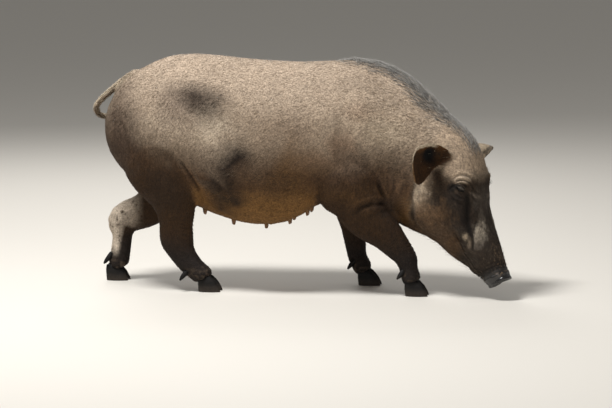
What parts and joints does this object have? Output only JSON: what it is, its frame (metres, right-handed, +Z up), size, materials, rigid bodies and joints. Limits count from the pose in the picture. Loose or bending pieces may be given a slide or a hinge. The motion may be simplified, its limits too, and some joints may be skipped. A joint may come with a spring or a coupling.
{
  "type": "wild boar",
  "caption": "Life-size still model of a walking wild boar sow with short dusty hair, small ears, cloven hooves and her snout lowered to the ground.",
  "frame": {"origin": "on the floor, under the middle of the bounding box", "axes": "+X from tail to head, +Y to the animal's left, +Z up"},
  "size_m": [1.1074, 0.4132, 0.611],
  "materials": {
    "hide": "dry hide under sparse short bristles",
    "dark_hide": "dry dark hide",
    "hoof_horn": "worn horn, half matt",
    "eye": "wet and dark"
  },
  "bodies": {
    "root": {"trunk": "hide", "neck": "hide", "head": "hide", "snout": "dark_hide", "tail": "dark_hide", "leg_fore_right": "dark_hide", "leg_fore_left": "dark_hide", "leg_hind_right": "dark_hide", "leg_hind_left": "dark_hide", "ear_right": "hide", "ear_left": "hide", "eye_right": "eye", "eye_left": "eye", "claw_right_hind_a": "hoof_horn", "dewclaw_right_hind_a": "hoof_horn", "claw_right_hind_b": "hoof_horn", "dewclaw_right_hind_b": "hoof_horn", "claw_left_hind_a": "hoof_horn", "dewclaw_left_hind_a": "hoof_horn", "claw_left_hind_b": "hoof_horn", "dewclaw_left_hind_b": "hoof_horn", "claw_right_fore_a": "hoof_horn", "dewclaw_right_fore_a": "hoof_horn", "claw_right_fore_b": "hoof_horn", "dewclaw_right_fore_b": "hoof_horn", "claw_left_fore_a": "hoof_horn", "dewclaw_left_fore_a": "hoof_horn", "claw_left_fore_b": "hoof_horn", "dewclaw_left_fore_b": "hoof_horn"}
  },
  "joints": []
}
